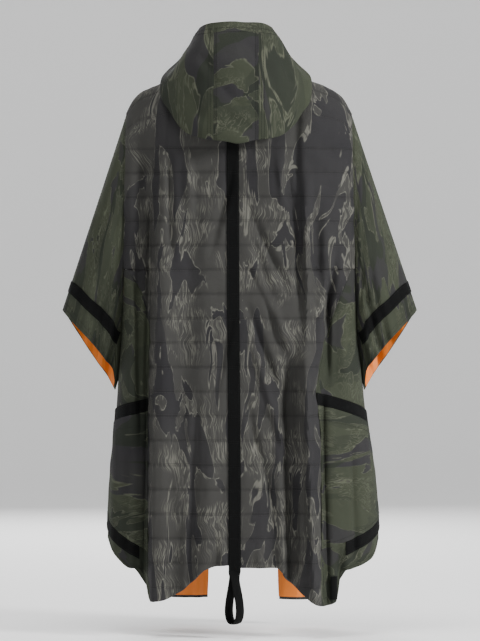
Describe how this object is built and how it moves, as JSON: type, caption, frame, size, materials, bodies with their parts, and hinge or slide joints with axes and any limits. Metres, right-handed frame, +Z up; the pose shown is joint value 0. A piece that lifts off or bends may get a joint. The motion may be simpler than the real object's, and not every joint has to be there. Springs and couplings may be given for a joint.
{
  "type": "quilted poncho",
  "caption": "Quilted hooded poncho in its worn form, with a grey camouflage print, wide sleeves, side panels with pockets, orange lining and black webbing down the back.",
  "frame": {"origin": "between the shoulder tops, under the neck opening, where the wearer carries the poncho", "axes": "+Z up along the wearer, +Y towards the back of the poncho, +X towards the wearer's left"},
  "size_m": [0.769, 0.3782, 1.2859],
  "materials": {
    "back_print": "matt woven cloth with a grey striped camouflage print, channel quilted",
    "green_print": "matt woven cloth with a green and purple-grey striped camouflage print",
    "hood_print": "matt woven cloth with a green and purple-grey striped camouflage print",
    "webbing": "matt black ribbed webbing",
    "lining": "smooth orange lining with a soft sheen",
    "pocket_print": "the side cloth turned so that its stripes lie level"
  },
  "bodies": {
    "root": {"back_left": "back_print", "back_right": "back_print", "front_left": "back_print", "front_right": "back_print", "side_back_left": "green_print", "side_back_right": "green_print", "side_front_left": "green_print", "side_front_right": "green_print", "sleeve_left": "green_print", "sleeve_right": "green_print", "hood_centre": "hood_print", "hood_left": "hood_print", "hood_right": "hood_print", "lining_front_left": "lining", "lining_front_right": "lining", "lining_sleeve_left": "lining", "lining_sleeve_right": "lining", "pocket_left": "pocket_print", "pocket_right": "pocket_print", "webbing_back": "webbing", "hanging_loop": "webbing", "webbing_sleeve_left": "webbing", "webbing_sleeve_right": "webbing", "webbing_pocket_left": "webbing", "webbing_pocket_right": "webbing", "webbing_hem_left": "webbing", "webbing_hem_right": "webbing"}
  },
  "joints": []
}
